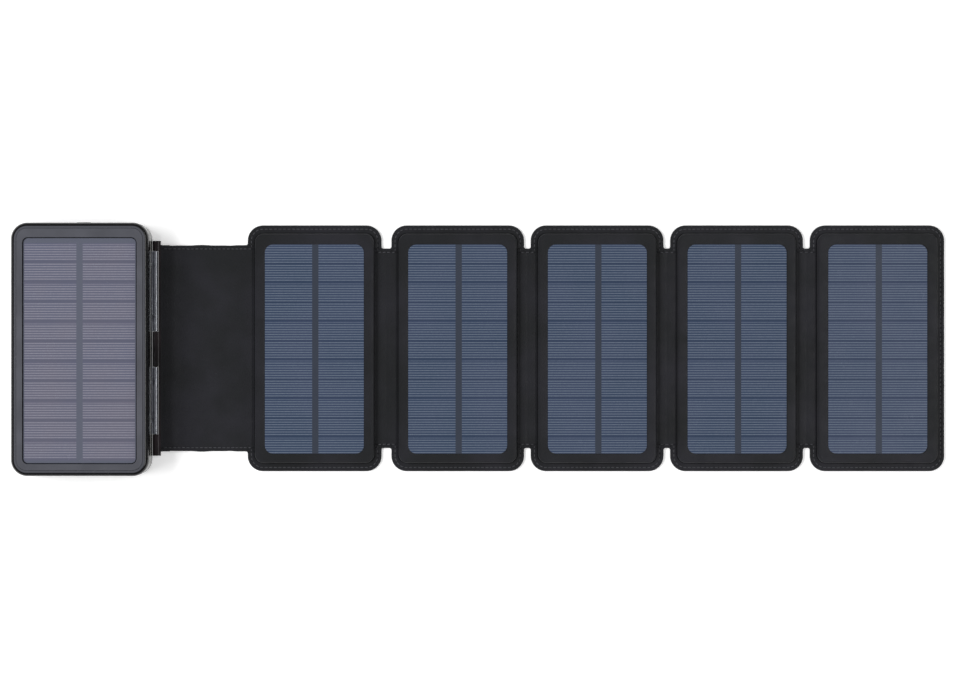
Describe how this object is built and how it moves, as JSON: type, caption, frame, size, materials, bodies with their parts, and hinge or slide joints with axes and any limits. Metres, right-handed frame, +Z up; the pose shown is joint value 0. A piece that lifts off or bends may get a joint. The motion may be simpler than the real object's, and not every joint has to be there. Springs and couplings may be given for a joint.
{
  "type": "solar phone charger",
  "caption": "Flat power bank with a solar top, and a row of leatherette solar panels that folds like an accordion and stows over it on a hinged flap.",
  "frame": {"origin": "on the table, under the middle of the unfolded row", "axes": "+X along the row, away from the power bank; +Y towards the bank's socket end; +Z up, out of the solar sides"},
  "size_m": [0.575, 0.1559, 0.024],
  "materials": {
    "gloss_black_case": "gloss black moulded case",
    "dark_frame": "matte dark grey moulded frame",
    "solar_sheet": "blue-grey solar cells under clear film",
    "black_leatherette": "black grained leatherette with black stitching",
    "black_rubber": "matte",
    "steel": "brushed",
    "nickel": "satin nickel strip",
    "pouch_foil": "laminated foil",
    "foam_pad": "soft foam",
    "circuit_board": "green solder mask",
    "chip_black": "matte",
    "clear_plastic": "frosted light guide",
    "lead_sleeve": "insulated lead",
    "rail_plastic": "semi-matte black hinge rail",
    "ribbon_film": "amber flexible circuit",
    "fibre_board": "pressed fibre board"
  },
  "bodies": {
    "power_bank": {"bottom_shell": "gloss_black_case", "top_shell": "gloss_black_case", "bezel_frame": "dark_frame", "bank_solar_sheet": "solar_sheet", "shell_seal": "black_rubber", "rubber_feet": "black_rubber", "case_screws": "steel", "battery_pouch_lower": "pouch_foil", "battery_pouch_upper": "pouch_foil", "battery_pad": "foam_pad", "battery_tabs": "nickel", "main_board": "circuit_board", "board_components": "chip_black", "usb_a_socket_left": "steel", "usb_a_socket_right": "steel", "usb_c_socket": "steel", "tact_switch": "chip_black", "light_guide": "clear_plastic", "indicator_leds": "clear_plastic", "hinge_leaf": "steel", "hinge_leaf_screws": "steel", "hinge_pin": "steel", "lead_grommet": "black_rubber", "solar_leads": "lead_sleeve"},
    "button": {"power_button": "gloss_black_case"},
    "flap": {"hinge_rail": "rail_plastic", "flap_ribbon": "ribbon_film", "flap_back_cover": "black_leatherette", "flap_front_cover": "black_leatherette"},
    "panel_1": {"panel_1_back_cover": "black_leatherette", "panel_1_front_cover": "black_leatherette", "panel_1_stiffener": "fibre_board", "panel_1_solar_sheet": "solar_sheet", "panel_1_ribbon": "ribbon_film"},
    "panel_2": {"panel_2_back_cover": "black_leatherette", "panel_2_front_cover": "black_leatherette", "panel_2_stiffener": "fibre_board", "panel_2_solar_sheet": "solar_sheet", "panel_2_ribbon": "ribbon_film"},
    "panel_3": {"panel_3_back_cover": "black_leatherette", "panel_3_front_cover": "black_leatherette", "panel_3_stiffener": "fibre_board", "panel_3_solar_sheet": "solar_sheet", "panel_3_ribbon": "ribbon_film"},
    "panel_4": {"panel_4_back_cover": "black_leatherette", "panel_4_front_cover": "black_leatherette", "panel_4_stiffener": "fibre_board", "panel_4_solar_sheet": "solar_sheet", "panel_4_ribbon": "ribbon_film"},
    "panel_5": {"panel_5_back_cover": "black_leatherette", "panel_5_front_cover": "black_leatherette", "panel_5_stiffener": "fibre_board", "panel_5_solar_sheet": "solar_sheet", "panel_5_ribbon": "ribbon_film"}
  },
  "joints": [
    {"name": "flap_hinge", "type": "hinge", "parent": "power_bank", "child": "flap", "pos_m": [-0.2009, 0, 0.0024], "axis": [0, -1, 0], "range_deg": [-90, 90]},
    {"name": "panel_1_fold", "type": "hinge", "parent": "flap", "child": "panel_1", "pos_m": [-0.149, 0, 0.0019], "axis": [0, -1, 0], "range_deg": [0, 90]},
    {"name": "panel_2_fold", "type": "hinge", "parent": "panel_1", "child": "panel_2", "pos_m": [-0.05805, 0, 0.0055], "axis": [0, -1, 0], "range_deg": [0, 180]},
    {"name": "panel_3_fold", "type": "hinge", "parent": "panel_2", "child": "panel_3", "pos_m": [0.02925, 0, -0.0003], "axis": [0, -1, 0], "range_deg": [-180, 0]},
    {"name": "panel_4_fold", "type": "hinge", "parent": "panel_3", "child": "panel_4", "pos_m": [0.11565, 0, 0.0055], "axis": [0, -1, 0], "range_deg": [0, 180]},
    {"name": "panel_5_fold", "type": "hinge", "parent": "panel_4", "child": "panel_5", "pos_m": [0.2021, 0, -0.0003], "axis": [0, -1, 0], "range_deg": [-180, 0]},
    {"name": "button_press", "type": "slide", "parent": "power_bank", "child": "button", "axis": [0, -1, 0], "range_m": [0, 0.0005], "stiffness_N_per_m": 1500, "springref_m": -0.0002}
  ],
  "couplings": [
    {"joint": "panel_3_fold", "follows": "panel_2_fold", "ratio": -1},
    {"joint": "panel_4_fold", "follows": "panel_2_fold", "ratio": 1},
    {"joint": "panel_5_fold", "follows": "panel_2_fold", "ratio": -1}
  ]
}
